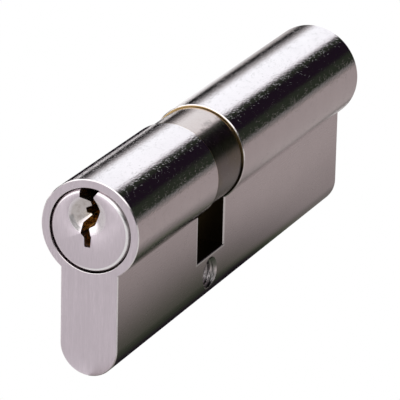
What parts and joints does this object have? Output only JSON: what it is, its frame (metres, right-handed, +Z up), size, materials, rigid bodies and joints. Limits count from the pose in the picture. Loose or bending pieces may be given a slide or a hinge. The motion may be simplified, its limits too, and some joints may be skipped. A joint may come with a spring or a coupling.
{
  "type": "euro profile lock cylinder",
  "caption": "Double euro-profile lock cylinder: round barrel on a flat web, a keyed plug in each end, a turning cam in the middle slot and a threaded fixing hole below it.",
  "frame": {"origin": "centre of the M5 fixing-screw hole, on the mid plane below the middle of the cam slot; the barrel axis lies 18.5 mm above it", "axes": "+X along the barrel from the short front end to the long rear end, +Z up from the web to the barrel, -Y is the side the fixing hole is seen from"},
  "size_m": [0.09, 0.0196, 0.033],
  "materials": {
    "nickel_plate": "semi-bright nickel plate on brass, finely pitted barrel, satin web",
    "plug_nickel": "satin nickel plate on brass",
    "cam_steel": "smooth sintered steel, satin",
    "coupling_steel": "satin",
    "spring_steel": "drawn wire",
    "pin_brass": "turned brass",
    "driver_steel": "turned and tumbled",
    "plain_brass": "plain brass plug"
  },
  "bodies": {
    "cylinder": {"cylinder_body": "nickel_plate", "front_spring_1": "spring_steel", "front_chamber_plug_1": "plain_brass", "front_spring_2": "spring_steel", "front_chamber_plug_2": "plain_brass", "front_spring_3": "spring_steel", "front_chamber_plug_3": "plain_brass", "front_spring_4": "spring_steel", "front_chamber_plug_4": "plain_brass", "front_spring_5": "spring_steel", "front_chamber_plug_5": "plain_brass", "rear_spring_1": "spring_steel", "rear_chamber_plug_1": "plain_brass", "rear_spring_2": "spring_steel", "rear_chamber_plug_2": "plain_brass", "rear_spring_3": "spring_steel", "rear_chamber_plug_3": "plain_brass", "rear_spring_4": "spring_steel", "rear_chamber_plug_4": "plain_brass", "rear_spring_5": "spring_steel", "rear_chamber_plug_5": "plain_brass"},
    "cam": {"cam": "cam_steel"},
    "front_core": {"front_plug": "plug_nickel", "front_circlip": "spring_steel"},
    "front_coupling": {"front_coupling": "coupling_steel"},
    "front_key_pin_1": {"front_key_pin_1": "pin_brass"},
    "front_driver_1": {"front_driver_1": "driver_steel"},
    "front_key_pin_2": {"front_key_pin_2": "pin_brass"},
    "front_driver_2": {"front_driver_2": "driver_steel"},
    "front_key_pin_3": {"front_key_pin_3": "pin_brass"},
    "front_driver_3": {"front_driver_3": "driver_steel"},
    "front_key_pin_4": {"front_key_pin_4": "pin_brass"},
    "front_driver_4": {"front_driver_4": "driver_steel"},
    "front_key_pin_5": {"front_key_pin_5": "pin_brass"},
    "front_driver_5": {"front_driver_5": "driver_steel"},
    "rear_core": {"rear_plug": "plug_nickel", "rear_circlip": "spring_steel"},
    "rear_coupling": {"rear_coupling": "coupling_steel"},
    "rear_key_pin_1": {"rear_key_pin_1": "pin_brass"},
    "rear_driver_1": {"rear_driver_1": "driver_steel"},
    "rear_key_pin_2": {"rear_key_pin_2": "pin_brass"},
    "rear_driver_2": {"rear_driver_2": "driver_steel"},
    "rear_key_pin_3": {"rear_key_pin_3": "pin_brass"},
    "rear_driver_3": {"rear_driver_3": "driver_steel"},
    "rear_key_pin_4": {"rear_key_pin_4": "pin_brass"},
    "rear_driver_4": {"rear_driver_4": "driver_steel"},
    "rear_key_pin_5": {"rear_key_pin_5": "pin_brass"},
    "rear_driver_5": {"rear_driver_5": "driver_steel"}
  },
  "joints": [
    {"name": "core_front_turn", "type": "hinge", "parent": "cylinder", "child": "front_core", "pos_m": [0, 0, 0.0185], "axis": [1, 0, 0], "continuous": true},
    {"name": "core_rear_turn", "type": "hinge", "parent": "cylinder", "child": "rear_core", "pos_m": [0, 0, 0.0185], "axis": [1, 0, 0], "continuous": true},
    {"name": "cam_turn", "type": "hinge", "parent": "cylinder", "child": "cam", "pos_m": [0, 0, 0.0185], "axis": [1, 0, 0], "continuous": true},
    {"name": "coupling_front_shift", "type": "slide", "parent": "cam", "child": "front_coupling", "axis": [1, 0, 0], "range_m": [0, 0.0014]},
    {"name": "coupling_rear_shift", "type": "slide", "parent": "cam", "child": "rear_coupling", "axis": [1, 0, 0], "range_m": [0, 0.0014]},
    {"name": "driver_front_1", "type": "slide", "parent": "cylinder", "child": "front_driver_1", "axis": [0, 0, 1], "range_m": [-0.002, 0], "stiffness_N_per_m": 100, "springref_m": 0.008, "deforming": ["front_spring_1"]},
    {"name": "driver_front_2", "type": "slide", "parent": "cylinder", "child": "front_driver_2", "axis": [0, 0, 1], "range_m": [-0.002, 0], "stiffness_N_per_m": 100, "springref_m": 0.008, "deforming": ["front_spring_2"]},
    {"name": "driver_front_3", "type": "slide", "parent": "cylinder", "child": "front_driver_3", "axis": [0, 0, 1], "range_m": [-0.002, 0], "stiffness_N_per_m": 100, "springref_m": 0.008, "deforming": ["front_spring_3"]},
    {"name": "driver_front_4", "type": "slide", "parent": "cylinder", "child": "front_driver_4", "axis": [0, 0, 1], "range_m": [-0.002, 0], "stiffness_N_per_m": 100, "springref_m": 0.008, "deforming": ["front_spring_4"]},
    {"name": "driver_front_5", "type": "slide", "parent": "cylinder", "child": "front_driver_5", "axis": [0, 0, 1], "range_m": [-0.002, 0], "stiffness_N_per_m": 100, "springref_m": 0.008, "deforming": ["front_spring_5"]},
    {"name": "driver_rear_1", "type": "slide", "parent": "cylinder", "child": "rear_driver_1", "axis": [0, 0, 1], "range_m": [-0.002, 0], "stiffness_N_per_m": 100, "springref_m": 0.008, "deforming": ["rear_spring_1"]},
    {"name": "driver_rear_2", "type": "slide", "parent": "cylinder", "child": "rear_driver_2", "axis": [0, 0, 1], "range_m": [-0.002, 0], "stiffness_N_per_m": 100, "springref_m": 0.008, "deforming": ["rear_spring_2"]},
    {"name": "driver_rear_3", "type": "slide", "parent": "cylinder", "child": "rear_driver_3", "axis": [0, 0, 1], "range_m": [-0.002, 0], "stiffness_N_per_m": 100, "springref_m": 0.008, "deforming": ["rear_spring_3"]},
    {"name": "driver_rear_4", "type": "slide", "parent": "cylinder", "child": "rear_driver_4", "axis": [0, 0, 1], "range_m": [-0.002, 0], "stiffness_N_per_m": 100, "springref_m": 0.008, "deforming": ["rear_spring_4"]},
    {"name": "driver_rear_5", "type": "slide", "parent": "cylinder", "child": "rear_driver_5", "axis": [0, 0, 1], "range_m": [-0.002, 0], "stiffness_N_per_m": 100, "springref_m": 0.008, "deforming": ["rear_spring_5"]},
    {"name": "key_pin_front_1", "type": "slide", "parent": "front_core", "child": "front_key_pin_1", "axis": [0, 0, 1], "range_m": [0, 0.0028]},
    {"name": "key_pin_front_2", "type": "slide", "parent": "front_core", "child": "front_key_pin_2", "axis": [0, 0, 1], "range_m": [0, 0.0016]},
    {"name": "key_pin_front_3", "type": "slide", "parent": "front_core", "child": "front_key_pin_3", "axis": [0, 0, 1], "range_m": [0, 0.0022]},
    {"name": "key_pin_front_4", "type": "slide", "parent": "front_core", "child": "front_key_pin_4", "axis": [0, 0, 1], "range_m": [0, 0.001]},
    {"name": "key_pin_front_5", "type": "slide", "parent": "front_core", "child": "front_key_pin_5", "axis": [0, 0, 1], "range_m": [0, 0.0024]},
    {"name": "key_pin_rear_1", "type": "slide", "parent": "rear_core", "child": "rear_key_pin_1", "axis": [0, 0, 1], "range_m": [0, 0.002]},
    {"name": "key_pin_rear_2", "type": "slide", "parent": "rear_core", "child": "rear_key_pin_2", "axis": [0, 0, 1], "range_m": [0, 0.0026]},
    {"name": "key_pin_rear_3", "type": "slide", "parent": "rear_core", "child": "rear_key_pin_3", "axis": [0, 0, 1], "range_m": [0, 0.0012]},
    {"name": "key_pin_rear_4", "type": "slide", "parent": "rear_core", "child": "rear_key_pin_4", "axis": [0, 0, 1], "range_m": [0, 0.0028]},
    {"name": "key_pin_rear_5", "type": "slide", "parent": "rear_core", "child": "rear_key_pin_5", "axis": [0, 0, 1], "range_m": [0, 0.0016]}
  ],
  "couplings": [
    {"joint": "cam_turn", "follows": "core_front_turn", "ratio": 1}
  ]
}
